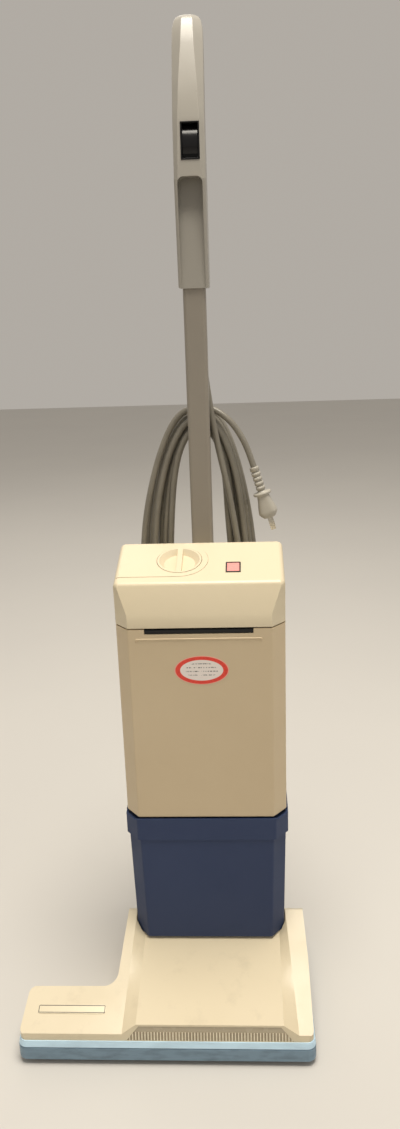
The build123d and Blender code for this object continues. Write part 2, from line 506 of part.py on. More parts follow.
def make_door():
    door = column(HALF_TOP, HALF_TOP, DOOR_LOW, DOOR_TOP) - column(HALF_TOP, HALF_TOP, 200, 600, WALL)
    door = door & block(-200, 200, 0, DOOR_BACK, 0, 600)
    cap = column(HALF_TOP, HALF_TOP, DOOR_TOP - 14, DOOR_TOP - 11, 1.0)
    door += cap & block(-200, 200, 0, 145, 0, 600)
    door += block(-8, 8, 142.4, 145, DOOR_TOP - 12, DOOR_TOP - 1)
    front_low = door.edges().filter_by(Axis.X).filter_by_position(Axis.Z, DOOR_LOW - 0.1, DOOR_LOW + 0.1)
    door = fillet(front_low.sort_by(Axis.Y)[0], 2.6)
    door -= block(-200, 200, DOOR_BACK - 0.9, DOOR_BACK + 1, 250, HINGE_Z + 2)
    door -= block(LATCH_X - LATCH_HALF - 0.5, LATCH_X + LATCH_HALF + 0.5, 110, 126, LATCH_LOW - 0.4, 520)
    left, right, ridge_z, ridge_y = -74.0, 71.5, 496.4, BODY_FRONT + 0.2
    door += rod_x(ridge_y, ridge_z, 1.1, left, right)
    for x in (left, right):
        door += rod_z(x, ridge_y, 1.1, ridge_z - 3, ridge_z) + Location((x, ridge_y, ridge_z)) * Sphere(1.1)
    for x in (-44.6, 44.6):
        lug = rod_x(HINGE_Y, HINGE_Z, 3.0, x - 4, x + 4)
        lug += block(x - 4, x + 4, BODY_FRONT + 2, HINGE_Y, HINGE_Z - 2.6, HINGE_Z + 3)
        door += lug - rod_x(HINGE_Y, HINGE_Z, 1.57, x - 9, x + 9)
    save("bag_door", door)
    pins = [rod_x(HINGE_Y, HINGE_Z, 1.5, x0, x1) for x0, x1 in ((-58, -40.4), (40.4, 58))]
    save("door_hinge_pins", *pins)
    seal = column(HALF_TOP, HALF_TOP, RIM_TOP + 6, HEAD_LOW - 6, WALL + 1.4)
    seal -= column(HALF_TOP, HALF_TOP, RIM_TOP + 10, HEAD_LOW - 10, WALL + 4.6)
    save("door_gasket", seal & block(-200, 200, DOOR_BACK - 2.6, DOOR_BACK + 0.35, 0, 600))


def make_latch():
    low, high = LATCH_LOW, DOOR_TOP - 0.2
    bar = block(LATCH_X - LATCH_HALF, LATCH_X + LATCH_HALF, BODY_FRONT + 0.8, 125.6, low, high)
    bar = fillet(bar.edges().filter_by(Axis.X), 1.2)
    bar += block(-12, 12, 124, 136, DOOR_TOP - 5, DOOR_TOP - 1)
    save("door_latch", bar)
    spring = Cylinder(2.6, 6.2) - Cylinder(1.6, 8)
    save("latch_spring", Location((0, 139.2, DOOR_TOP - 3.2), (90, 0, 0)) * spring)


def make_label():
    ring = Location((1, BODY_FRONT, 457), (90, 0, 0)) * extrude(Ellipse(32, 18), 0.35)
    save("oval_label", ring)


def head_profile(inset, low):
    return [(BODY_FRONT + inset, low), (BODY_FRONT + inset, FOREHEAD_LOW),
            (BROW_Y + inset * 0.8, BROW_Z - inset), (CREST_Y - inset * 0.3, CREST_Z - inset),
            (BODY_BACK - inset, 556 - inset * 0.4), (BODY_BACK - inset, low)]


def head_form(inset=0.0, low=HEAD_LOW):
    form = side_prism(head_profile(inset, low), -HALF_TOP + inset, HALF_TOP - inset)
    for side in (-1, 1):
        one = Vector(side * (HALF_TOP - CHAMFER_X), BODY_FRONT, FOREHEAD_LOW)
        two = Vector(side * HALF_TOP, BODY_FRONT + CHAMFER_Y, FOREHEAD_LOW)
        three = Vector(side * (HALF_TOP - 3), BROW_Y, BROW_Z)
        normal = (two - one).cross(three - one).normalized() * side
        plane = Plane(origin=one - normal * inset, z_dir=normal)
        above = plane * Pos(0, 0, 100) * Box(400, 400, 200)
        corner = [(one.X, one.Y), (two.X, two.Y), (two.X + side * 20, two.Y), (two.X + side * 20, one.Y - 20),
                  (one.X, one.Y - 20)]
        lower = make_face(Polyline(*[(x - side * inset * 0.5, y + inset) for x, y in corner], close=True))
        form -= above & block(-300, 300, 0, 160, FOREHEAD_LOW, 700)
        form -= Location((0, 0, low - 5)) * extrude(lower, FOREHEAD_LOW - low + 5)
    return form


def top_plane(x, y):
    """The plane of the sloping top face at plan position (x, y), z outwards."""
    slope = (CREST_Z - BROW_Z) / (CREST_Y - BROW_Y)
    z = BROW_Z + (y - BROW_Y) * slope
    return Plane(origin=(x, y, z), x_dir=(1, 0, 0), z_dir=(0, -slope, 1))


def cover_outline(grow=0.0):
    """The access cover: a half disc whose straight part runs off the head's left side."""
    radius = COVER_R + grow
    left = -HALF_TOP - 10 - KNOB_X
    return Circle(radius) + Pos(left / 2, 0) * Rectangle(-left, 2 * radius)


def rounded_head():
    """The head with its top edges rounded."""
    form = head_form()
    return fillet([edge for edge in form.edges() if edge.center().Z > BROW_Z - 1], HEAD_ROUND)


def make_head():
    outer = rounded_head()
    head = outer - head_form(WALL, HEAD_LOW - 6)
    seat = top_plane(KNOB_X, KNOB_Y)
    head -= seat * Pos(0, 0, -1.6) * extrude(cover_outline(0.3), 10)
    head -= seat * Pos(0, 0, -6) * extrude(Circle(KNOB_R + 0.5), 20)
    head -= top_plane(INDICATOR_X, INDICATOR_Y) * Pos(0, 0, -6) * extrude(Rectangle(PILOT_WIDE + 0.4, PILOT_LONG + 0.4), 20)
    save("top_cover", head)
    plate = seat * Pos(0, 0, -1.5) * extrude(cover_outline() - Circle(KNOB_R + 0.5), 4)
    save("access_cover", plate & Pos(0, 0, 0.5) * outer)


def make_knob():
    seat = top_plane(KNOB_X, KNOB_Y)
    disc = Pos(0, 0, -14) * extrude(Circle(KNOB_R), 14.8)
    bowl = Pos(0, 0, -DISH_DEPTH / 2 + 1) * Cone(DISH_FLOOR_R, DISH_RIM_R, DISH_DEPTH)
    bar = Pos(0, 0, -6.7) * Box(6.4, 2 * KNOB_R - 1.2, 14)
    bar = bar & Pos(0, 0, -14) * extrude(Circle(KNOB_R - 0.4), 20)
    knob = disc - bowl + bar + Pos(0, 0, -20) * extrude(Circle(5), 8)
    save("selector_knob", seat * knob)


def make_indicator():
    seat = top_plane(INDICATOR_X, INDICATOR_Y)
    inner_wide, inner_long = PILOT_WIDE - 2.6, PILOT_LONG - 2.6
    ring = Rectangle(PILOT_WIDE, PILOT_LONG) - Rectangle(inner_wide, inner_long)
    save("indicator_bezel", seat * Pos(0, 0, -5) * extrude(ring, 6.2))
    lens = extrude(Rectangle(inner_wide - 0.1, inner_long - 0.1), 3.6)
    save("indicator_lens", seat * Pos(0, 0, -3) * lens)


# ---- handle -------------------------------------------------------------------------
def make_tube():
    outer = block(-TUBE_HALF, TUBE_HALF, TUBE_FRONT, TUBE_BACK, TUBE_LOW, TUBE_TOP)
    outer = fillet(outer.edges().filter_by(Axis.Z), 4.5)
    inner = block(-TUBE_HALF + TUBE_WALL, TUBE_HALF - TUBE_WALL, TUBE_FRONT + TUBE_WALL,
                  TUBE_BACK - TUBE_WALL, 0, 2000)
    inner = fillet(inner.edges().filter_by(Axis.Z), 3)
    save("handle_tube", outer - inner)


def make_brackets():
    """Two clamps that hold the tube to the back of the upright, with their bolt ends."""
    hole = block(-TUBE_HALF - 0.05, TUBE_HALF + 0.05, TUBE_FRONT - 0.05, TUBE_BACK + 0.05, TUBE_LOW, 700)
    hole = fillet(hole.edges().filter_by(Axis.Z), 4.5)
    brackets = []
    bolts = []
    for low, high, bolt_z in ((296, 346, 330), (498, 530, 514)):
        shape = block(-BRACKET_HALF, BRACKET_HALF, BODY_BACK + 0.05, BRACKET_BACK, low, high)
        shape = fillet(shape.edges().filter_by(Axis.Z).sort_by(Axis.Y)[-2:], 6)
        brackets.append(shape - hole - rod_x(BOLT_Y, bolt_z, 1.8, -30, 30))
        for side in (-1, 1):
            head = rod_x(BOLT_Y, bolt_z, 3.0, BRACKET_HALF + 0.02, BRACKET_HALF + 3)
            shank = rod_x(BOLT_Y, bolt_z, 1.78, TUBE_HALF + 0.1, BRACKET_HALF + 0.1)
            bolt = head + shank
            bolts.append(bolt if side > 0 else mirror(bolt, about=Plane.YZ))
    save("tube_brackets", *brackets)
    return bolts


def grip_section(z, inset):
    """Outline of the hand grip at height z: a flat panel, two flanks and a round back."""
    front, depth, half, panel, drop, back_round = GRIP_SECTIONS[z]
    low, high, side = front + inset, front + depth - inset, half - inset
    edge = panel - inset / 2
    points = [(-edge, low), (edge, low), (side, low + drop), (side, high), (-side, high), (-side, low + drop)]
    soft = back_round - inset
    outline = make_face(FilletPolyline(*points, radius=[1.2, 1.2, 2.0, soft, soft, 2.0], close=True))
    drop_top = inset if z > GRIP_TOP - 5 else 0
    return (Location((0, 0, z - drop_top)) * outline).face()


def grip_upper(inset=0.0):
    """The hand grip above the lip, which leans further back the higher it gets."""
    return loft([grip_section(z, inset) for z in GRIP_SECTIONS], ruled=True)


def finger_scoop():
    """The hollow under the lip: its floor curves inwards on the way up."""
    top = LIP_Z - 1.0
    floor = [(220, GRIP_LOW - 1), (249.6, GRIP_LOW - 1), (249.6, 938), (252, 958), (257, 980), (260, top),
             (220, top)]
    face = make_face(Polyline(*[(-SCOOP_HALF, y, z) for y, z in floor], close=True))
    scoop = extrude(face, 2 * SCOOP_HALF, dir=(1, 0, 0))
    corners = [edge for edge in scoop.edges().filter_by(Axis.Y) if edge.center().Z > top - 1]
    return fillet(corners, 7)


def make_grip():
    top = GRIP_JOIN + 0.2
    skirt = side_prism([(248.5, GRIP_LOW), (239, top), (GRIP_BACK, top), (GRIP_BACK, GRIP_LOW)],
                       -GRIP_HALF, GRIP_HALF)
    skirt = fillet([edge for edge in skirt.edges() if abs(edge.center().X) > GRIP_HALF - 1
                    and edge.center().Z < GRIP_LOW + 80], 3.0)
    shell = skirt + grip_upper() - finger_scoop()
    shell -= grip_upper(GRIP_WALL) & block(-30, 30, 263, 400, GRIP_JOIN + 1, GRIP_TOP - 11)
    shell -= grip_upper(GRIP_WALL) & block(-30, 30, 200, 400, LIP_Z + 6, GRIP_TOP - 11)
    tube_way = block(-TUBE_HALF - 0.05, TUBE_HALF + 0.05, TUBE_FRONT - 0.05, TUBE_BACK + 0.05, 880, TUBE_TOP)
    shell -= fillet(tube_way.edges().filter_by(Axis.Z), 4.5)
    shell -= switch_place() * Box(2 * SWITCH_HALF_X + 2.2, 50, 2 * SWITCH_HALF_Z + 2.2)
    shell -= rod_z(RELIEF_X, RELIEF_Y, 4.6, GRIP_LOW - 16, GRIP_LOW + 14)
    ahead = side_prism([(220, 860), (266, 860), (266, 1000), (268, 1050), (286, 1130), (308, 1190),
                        (220, 1190)], -40, 40)
    save("grip_front", shell & ahead)
    save("grip_rear", shell - ahead)


def switch_place():
    """The switch follows the lean of the grip's front."""
    return Location((SWITCH_X, SWITCH_Y, SWITCH_Z), (-SWITCH_LEAN, 0, 0))


def make_switch():
    width, height, pin_depth = SWITCH_HALF_X + 0.9, SWITCH_HALF_Z + 0.9, 14.0
    frame = Box(2 * width, SWITCH_DEPTH, 2 * height) - Box(2 * width - 3, 30, 2 * height - 3)
    frame = Pos(0, SWITCH_DEPTH / 2 - SWITCH_OUT, 0) * frame
    frame -= rod_x(pin_depth, 0, 1.56, -width - 1, width + 1)
    save("switch_frame", switch_place() * frame)
    rocker = rod_x(9.0, 0, 23.6, -width + 1.9, width - 1.9) & block(-20, 20, -21, -1, -17.2, 17.2)
    rocker = Pos(0, pin_depth, 0) * rocker + rod_x(pin_depth, 0, 4.0, -width + 1.9, width - 1.9)
    rocker += rod_x(pin_depth, 0, 1.5, -width + 0.3, width - 0.3)
    save("rocker_switch", switch_place() * rocker)


# ---- cord ---------------------------------------------------------------------------
def make_hooks():
    """Two hooks behind the cleaner; each is a foot, an arm and a lip that holds the cord."""
    upper = block(-11, 11, TUBE_BACK + 0.05, TUBE_BACK + 3, UPPER_HOOK_Z - 22, UPPER_HOOK_Z + 10)
    upper += block(-11, 11, TUBE_BACK + 3, HOOK_BACK, UPPER_HOOK_Z - HOOK_THICK, UPPER_HOOK_Z)
    upper += block(-11, 11, HOOK_BACK - 4, HOOK_BACK, UPPER_HOOK_Z - HOOK_THICK, UPPER_HOOK_Z + 40)
    save("upper_cord_hook", upper)
    lower = block(-18, 18, BODY_BACK + 0.05, BODY_BACK + 4, LOWER_HOOK_Z - 19, LOWER_HOOK_Z + 19)
    lower += block(-13, 13, BODY_BACK + 3, HOOK_BACK, LOWER_HOOK_Z, LOWER_HOOK_Z + HOOK_THICK)
    lower += block(-13, 13, HOOK_BACK - 4, HOOK_BACK, LOWER_HOOK_Z - 36, LOWER_HOOK_Z + HOOK_THICK)
    save("lower_cord_hook", lower)


def make_cord():
    for name, route in (("cord_lead", LEAD_ROUTE), ("cord_tail", TAIL_ROUTE)):
        radii = arc_radii(route)
        tube = along(route, radii, Circle(CORD_R))
        length = tube.volume / (pi * CORD_R ** 2)
        print(name, "radii", [round(r) for r in radii], "length", round(length))
        save(name, tube)


def make_hank():
    outer = [(-34, 748), (34, 748), (72, 590), (74, 400), (46, 238), (-46, 238), (-78, 400), (-82, 590)]
    inner = [(-16, 714), (16, 714), (38, 590), (40, 400), (26, 272), (-26, 272), (-42, 400), (-44, 590)]
    ring = make_face(FilletPolyline(*outer, radius=[24, 24, 90, 120, 34, 34, 120, 90], close=True))
    ring -= make_face(FilletPolyline(*inner, radius=[10, 10, 60, 90, 14, 14, 90, 60], close=True))
    plane = Plane(origin=(0, HANK_FRONT, 0), x_dir=(1, 0, 0), z_dir=(0, -1, 0))
    hank = extrude(plane * ring, -(HANK_BACK - HANK_FRONT))
    end, before = Vector(LEAD_ROUTE[-1]), Vector(LEAD_ROUTE[-2])
    hank += stub(end, end - before)
    start, after = Vector(TAIL_ROUTE[0]), Vector(TAIL_ROUTE[1])
    hank += stub(start, start - after)
    save("cord_hank", hank)


def stub(point, direction):
    """Where a loose stretch runs into the hank."""
    length, reach = 15.0, 10.0
    foot = point + direction.normalized() * reach
    pad = block(foot.X - 4, foot.X + 4, CORD_Y, HANK_FRONT + 2, foot.Z - 4, foot.Z + 4)
    return extrude(Plane(origin=point, z_dir=direction) * Circle(CORD_R), length) + pad


def make_plug():
    """A moulded plug on the tail: relief, collar, flared body and two flat blades."""
    top = Vector(TAIL_ROUTE[-1])
    heading = (top - Vector(TAIL_ROUTE[-2])).normalized()
    seat = Plane(origin=top, z_dir=heading)
    body = extrude(seat * Circle(5.9), RELIEF_LENGTH, taper=-1)
    body += extrude(Plane(top + heading * RELIEF_LENGTH, z_dir=heading) * Circle(11.6), 3)
    head = Plane(origin=top + heading * (RELIEF_LENGTH + 3), x_dir=(0, 1, 0), z_dir=heading)
    outlines = [(0, 20, 16, 5), (24, 25, 24, 7), (30, 21, 15, 5)]
    faces = [(head * Pos(0, 0, z) * RectangleRounded(deep, wide, corner)).face()
             for z, deep, wide, corner in outlines]
    body += loft(faces, ruled=True)
    save("plug_body", body)
    blades = []
    for side in (-1, 1):
        foot = head.origin + heading * 30 + head.x_dir * side * BLADE_SPACING / 2
        plane = Plane(origin=foot, x_dir=head.x_dir, z_dir=heading)
        blade = extrude(plane * Rectangle(1.5, 6.3), BLADE_LENGTH)
        blades.append(blade - plane * Pos(0, 0, BLADE_LENGTH - 4) * Rot(Y=90) * Cylinder(1.6, 4))
    save("plug_blades", *blades)


def make_strain_relief():
    """The boot under the grip: a stem held in the grip and a cone that narrows downwards."""
    stem = rod_z(RELIEF_X, RELIEF_Y, 4.5, GRIP_LOW - 1, GRIP_LOW + 13)
    length = GRIP_LOW - RELIEF_FOOT
    cone = Location((RELIEF_X, RELIEF_Y, RELIEF_FOOT + length / 2)) * Cone(4.6, 6.0, length)
    save("strain_relief", stem + cone)


def make_screws(bolts):
    spots = ((-60, 66), (40, 66), (-60, 178), (60, 178))
    save("base_screws", *[rod_z(x, y, 3.2, 6.7, 8.45) for x, y in spots])
    heads = [rod_y(x, z, 3.2, BODY_BACK + 0.05, BODY_BACK + 2) for x in (-84, 84)
             for z in (130, 218, 285, 480)]
    save("upright_screws", *bolts, *heads)


def make_badge():
    plane = Plane(origin=(BADGE_X, BADGE_Y, STRIP_TOP + (BADGE_Y - FACE_Y) * RAIL_SLOPE), x_dir=(1, 0, 0),
                  z_dir=(0, -RAIL_SLOPE, 1))
    save("badge_plate", extrude(plane * RectangleRounded(83, 10.5, 4), 0.7))


def main():
    os.makedirs("parts", exist_ok=True)
    make_base_cover()
    make_base_pan()
    make_sole_plate()
    make_bumper()
    make_headlight()
    make_brush()
    make_bearings()
    make_brush_motor()
    make_drive_belt()
    make_wheels()
    make_axle()
    make_nozzle_duct()
    make_suction_hose()
    make_pedal()
    make_motor_housing()
    make_exhaust()
    make_pivot_yoke()
    make_suction_motor()
    make_bag_housing()
    make_dirt_duct()
    make_dust_bag()
    make_door()
    make_latch()
    make_label()
    make_head()
    make_knob()
    make_indicator()
    make_tube()
    bolts = make_brackets()
    make_grip()
    make_switch()
    make_hooks()
    make_cord()
    make_hank()
    make_plug()
    make_strain_relief()
    make_screws(bolts)
    make_badge()


main()
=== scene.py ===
"""Looks for the upright vacuum cleaner: camera, cord, materials and softened shells."""
import json
from math import cos, pi, radians, sin, sqrt

import bmesh
import bpy
from mathutils import Matrix, Vector, noise


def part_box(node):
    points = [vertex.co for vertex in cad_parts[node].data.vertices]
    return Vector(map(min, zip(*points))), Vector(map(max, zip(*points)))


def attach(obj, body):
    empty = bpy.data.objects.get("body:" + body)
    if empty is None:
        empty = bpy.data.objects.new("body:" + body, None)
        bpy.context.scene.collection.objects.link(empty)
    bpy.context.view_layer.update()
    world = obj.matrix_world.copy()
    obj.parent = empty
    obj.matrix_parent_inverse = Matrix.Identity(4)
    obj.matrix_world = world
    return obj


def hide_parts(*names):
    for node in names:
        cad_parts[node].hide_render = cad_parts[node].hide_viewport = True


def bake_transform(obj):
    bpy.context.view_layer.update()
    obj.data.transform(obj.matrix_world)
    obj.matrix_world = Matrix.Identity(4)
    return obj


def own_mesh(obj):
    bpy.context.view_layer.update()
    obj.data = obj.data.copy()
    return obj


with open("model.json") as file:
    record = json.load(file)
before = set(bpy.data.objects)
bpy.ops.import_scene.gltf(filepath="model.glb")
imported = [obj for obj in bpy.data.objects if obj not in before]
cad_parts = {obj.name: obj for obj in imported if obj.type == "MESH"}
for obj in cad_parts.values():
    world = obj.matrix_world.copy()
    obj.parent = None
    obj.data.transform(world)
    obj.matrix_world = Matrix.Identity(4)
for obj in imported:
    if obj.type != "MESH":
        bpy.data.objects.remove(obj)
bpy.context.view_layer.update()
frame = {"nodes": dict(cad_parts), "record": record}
scene = bpy.context.scene

# ---- places worked out from the frame (metres) --------------------------------------
TUBE_LOW, TUBE_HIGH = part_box("handle_tube")
MIDDLE_X = (TUBE_LOW.x + TUBE_HIGH.x) / 2
FRONT_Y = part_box("bumper")[0].y


def at(x, y, z):
    """A point measured from the upright's middle, the bumper's front and the floor."""
    return Vector((MIDDLE_X + x, FRONT_Y + y, z))


# ---- camera -------------------------------------------------------------------------
def make_camera():
    """A wide lens at chest height, looking down from the front and slightly rolled."""
    yaw, pitch, roll = radians(2.98), radians(16.7), radians(-1.91)
    ahead = Vector((sin(-yaw) * cos(pitch), cos(yaw) * cos(pitch), -sin(pitch)))
    level = Vector((cos(yaw), sin(yaw), 0))
    above = level.cross(ahead)
    right = cos(roll) * level + sin(roll) * above
    up = -sin(roll) * level + cos(roll) * above
    data = bpy.data.cameras.new("camera")
    data.sensor_width, data.sensor_fit = 36.0, "AUTO"
    data.lens = 27.62
    data.shift_x = -0.0045
    camera = bpy.data.objects.new("camera", data)
    camera.matrix_world = Matrix.Translation(at(0.0578, -0.8142, 0.8674)) @ Matrix(
        (right, up, -ahead)).transposed().to_4x4()
    scene.collection.objects.link(camera)
    scene.camera = camera


# ---- node helpers -------------------------------------------------------------------
class Nodes:
    """A short way to write a material's node tree."""

    def __init__(self, name):
        self.material = bpy.data.materials.new(name)
        self.material.use_nodes = True
        self.tree = self.material.node_tree
        self.tree.nodes.clear()
        self.shader = self.add("ShaderNodeBsdfPrincipled")
        output = self.add("ShaderNodeOutputMaterial")
        self.link(self.shader.outputs["BSDF"], output.inputs["Surface"])
        self.place = self.add("ShaderNodeTexCoord").outputs["Object"]

    def add(self, kind, **values):
        node = self.tree.nodes.new(kind)
        for key, value in values.items():
            setattr(node, key, value)
        return node

    def link(self, source, target):
        self.tree.links.new(source, target)

    def feed(self, value, socket):
        """Links a socket, or sets a plain value."""
        if isinstance(value, bpy.types.NodeSocket):
            self.link(value, socket)
        else:
            socket.default_value = value

    def noise(self, scale, detail=3.0, stretch=(1, 1, 1), rough=0.5):
        mapping = self.add("ShaderNodeMapping")
        mapping.inputs["Scale"].default_value = stretch
        self.link(self.place, mapping.inputs["Vector"])
        node = self.add("ShaderNodeTexNoise")
        node.inputs["Scale"].default_value = scale
        node.inputs["Detail"].default_value = detail
        node.inputs["Roughness"].default_value = rough
        self.link(mapping.outputs["Vector"], node.inputs["Vector"])
        return node.outputs["Fac"]

    def voronoi(self, scale):
        node = self.add("ShaderNodeTexVoronoi", feature="F1")
        node.inputs["Scale"].default_value = scale
        self.link(self.place, node.inputs["Vector"])
        return node.outputs["Distance"]

    def axis(self, letter):
        node = self.add("ShaderNodeSeparateXYZ")
        self.link(self.place, node.inputs["Vector"])
        return node.outputs[letter]

    def math(self, operation, one, two=0.0):
        node = self.add("ShaderNodeMath", operation=operation)
        self.feed(one, node.inputs[0])
        self.feed(two, node.inputs[1])
        return node.outputs["Value"]

    def band(self, value, low, high, out_low=0.0, out_high=1.0):
        """Maps low..high onto out_low..out_high, clamped."""
        node = self.add("ShaderNodeMapRange")
        self.feed(value, node.inputs["Value"])
        node.inputs["From Min"].default_value = low
        node.inputs["From Max"].default_value = high
        node.inputs["To Min"].default_value = out_low
        node.inputs["To Max"].default_value = out_high
        return node.outputs["Result"]

    def mix(self, factor, one, two):
        node = self.add("ShaderNodeMix", data_type="RGBA")
        self.feed(factor, node.inputs["Factor"])
        self.feed((*one, 1) if isinstance(one, tuple) else one, node.inputs["A"])
        self.feed((*two, 1) if isinstance(two, tuple) else two, node.inputs["B"])
        return node.outputs["Result"]

    def bump(self, height, strength, distance):
        node = self.add("ShaderNodeBump")
        node.inputs["Strength"].default_value = strength
        node.inputs["Distance"].default_value = distance
        self.link(height, node.inputs["Height"])
        self.link(node.outputs["Normal"], self.shader.inputs["Normal"])

    def set(self, **sockets):
        for key, value in sockets.items():
            self.feed(value, self.shader.inputs[key.replace("_", " ")])

    def near(self, centre, radius, wobble=0.35):
        """1 close to a point, 0 away from it, with an uneven edge."""
        node = self.add("ShaderNodeVectorMath", operation="DISTANCE")
        self.link(self.place, node.inputs[0])
        node.inputs[1].default_value = centre
        uneven = self.math("MULTIPLY_ADD", self.noise(900, 2), radius * wobble)
        distance = self.math("ADD", node.outputs["Value"], uneven)
        return self.band(distance, radius, radius * 1.25, 1.0, 0.0)


def moulded(name, colour, deep, rough=0.42, grain=0.12, dirt=0.35, chips=(), coat=0.12, shine=0.5):
    """Moulded plastic: a faint grain, slow colour drift, grime low down, dark chips."""
    n = Nodes(name)
    drift = n.band(n.noise(3.5, 4), 0.35, 0.7)
    tint = n.mix(n.math("MULTIPLY", drift, 0.5), colour, deep)
    specks = n.band(n.voronoi(420), 0.0, 0.07, 1.0, 0.0)
    rare = n.band(n.noise(60, 2), 0.62, 0.68)
    tint = n.mix(n.math("MULTIPLY", n.math("MULTIPLY", specks, rare), 0.35), tint,
                 tuple(channel * 0.45 for channel in deep))
    grime = n.math("MULTIPLY", n.band(n.noise(38, 5, rough=0.65), 0.55, 0.8), dirt)
    low = n.band(n.axis("Z"), 0.0, 0.16, 1.0, 0.15)
    tint = n.mix(n.math("MULTIPLY", grime, low), tint, tuple(channel * 0.6 for channel in deep))
    for centre, radius in chips:
        tint = n.mix(n.near(centre, radius), tint, (0.05, 0.045, 0.04))
    rub = n.band(n.noise(14, 5, rough=0.6), 0.35, 0.75, rough - 0.07, rough + 0.1)
    n.set(Base_Color=tint, Roughness=rub)
    n.set(Coat_Weight=coat, Coat_Roughness=0.25, Specular_IOR_Level=shine)
    fine = n.math("ADD", n.noise(1900, 2), n.math("MULTIPLY", n.noise(420, 3), 0.6))
    n.bump(fine, grain, 0.0003)
    return n.material


def metal(name, colour, rough=0.3, stretch=(1, 1, 1), grain=0.15):
    """Bare or plated metal with fine directional scratches."""
    n = Nodes(name)
    lines = n.noise(260, 4, stretch)
    n.set(Base_Color=n.mix(n.band(lines, 0.3, 0.7), colour, tuple(c * 0.72 for c in colour)))
    n.set(Metallic=1.0, Roughness=n.band(n.noise(60, 4, stretch), 0.3, 0.7, rough * 0.8, rough * 1.4))
    n.bump(lines, grain, 0.0002)
    return n.material


def rubbery(name, colour, rough=0.6, grain=0.25, scale=700, dust=0.25):
    """Rubber or vinyl: soft sheen, fine pebble and a little dust."""
    n = Nodes(name)
    dusty = n.math("MULTIPLY", n.band(n.noise(24, 5, rough=0.65), 0.45, 0.8), dust)
    light = tuple(min(1.0, c * 1.5 + 0.03) for c in colour)
    n.set(Base_Color=n.mix(dusty, colour, light))
    n.set(Roughness=n.band(n.noise(30, 4), 0.3, 0.7, rough - 0.08, rough + 0.1))
    n.bump(n.noise(scale, 3), grain, 0.0003)
    return n.material


CREAM, CREAM_DEEP = (0.74, 0.65, 0.47), (0.64, 0.54, 0.36)
NAVY, NAVY_DEEP = (0.036, 0.056, 0.128), (0.024, 0.038, 0.088)
# a darker copy of the cream for the bag door: painted shade on the front-facing door
DOOR_SHADE_TONE, DOOR_SHADE_DEEP = (0.640, 0.520, 0.345), (0.560, 0.440, 0.275)
# bumper colours: SKY_PAINTED_LIGHT is painted light on the upper slope, SKY and SKY_DEEP the painted-shade
# lower band
SKY_PAINTED_LIGHT, SKY, SKY_DEEP = (0.62, 0.84, 1.0), (0.20, 0.30, 0.39), (0.13, 0.195, 0.25)
CHIPS = [(at(0.0475, 0.1214, 0.5255), 0.0009), (at(0.079, 0.1214, 0.5255), 0.0012),
         (at(0.073, 0.1335, 0.561), 0.0008), (at(-0.160, 0.010, 0.047), 0.0007)]
GREY, GREY_DEEP = (0.355, 0.335, 0.295), (0.28, 0.26, 0.225)


def make_materials():
    """Every finish, by the record's slot name."""
    return {
        "cream": moulded("cream_plastic", CREAM, CREAM_DEEP, 0.40, chips=CHIPS),
        "blue": moulded("navy_plastic", NAVY, NAVY_DEEP, 0.50, 0.16, 0.3, coat=0.0, shine=0.25,
                        chips=[(at(-0.092, 0.128, 0.150), 0.0012)]),
        "bumper_blue": bumper_material(),
        "grey": moulded("grip_plastic", GREY, GREY_DEEP, 0.33, 0.08, 0.2),
        "tube_grey": moulded("tube_enamel", (0.285, 0.255, 0.212), (0.235, 0.21, 0.175), 0.38, 0.05, 0.2),
        "black": moulded("black_plastic", (0.006, 0.006, 0.007), (0.004, 0.004, 0.005), 0.20, 0.03, 0.0,
                          coat=0.0, shine=0.35),
        "dark_plastic": moulded("dark_plastic", (0.035, 0.035, 0.037), (0.02, 0.02, 0.02), 0.5, 0.25),
        "duct": moulded("duct_plastic", (0.05, 0.05, 0.055), (0.03, 0.03, 0.032), 0.45, 0.15),
        "steel": metal("brushed_steel", (0.56, 0.56, 0.57), 0.28, (1, 12, 12)),
        "zinc": metal("zinc_plate", (0.50, 0.50, 0.48), 0.38, (4, 1, 4)),
        "reflector": metal("bright_reflector", (0.85, 0.84, 0.80), 0.08, grain=0.02),
        "roll": metal("cast_roll", (0.48, 0.48, 0.50), 0.42, (12, 1, 1)),
        "blade": metal("nickel_blade", (0.72, 0.69, 0.62), 0.22, (1, 1, 8)),
        "bronze": metal("sintered_bronze", (0.42, 0.27, 0.12), 0.45),
        "belt": rubbery("belt_rubber", (0.016, 0.016, 0.017), 0.65),
        "tyre_rubber": rubbery("wheel_rubber", (0.025, 0.025, 0.026), 0.6),
        "mount_rubber": rubbery("mount_rubber", (0.03, 0.03, 0.03), 0.7),
        "seal": rubbery("seal_foam", (0.05, 0.05, 0.05), 0.85, 0.6, 1500),
        "hose": rubbery("hose_vinyl", (0.06, 0.06, 0.064), 0.45),
        "cord": rubbery("cord_vinyl", (0.215, 0.198, 0.162), 0.34, 0.12, 1200, 0.4),
        "plug": rubbery("plug_vinyl", (0.40, 0.375, 0.32), 0.42, 0.12, 1200, 0.3),
        "bristle": rubbery("nylon_bristle", (0.03, 0.03, 0.035), 0.4),
        "paper": rubbery("bag_paper", (0.52, 0.38, 0.22), 0.9, 0.5, 260, 0.5),
        "filter": rubbery("filter_felt", (0.55, 0.56, 0.54), 0.95, 0.9, 500, 0.4),
        "pink_lens": moulded("indicator_plastic", (0.93, 0.36, 0.33), (0.85, 0.27, 0.25), 0.3, 0.05, 0.0),
        "badge": badge_material(),
        "label": label_material(),
        "lens": lens_material(),
        "bulb": bulb_material(),
    }


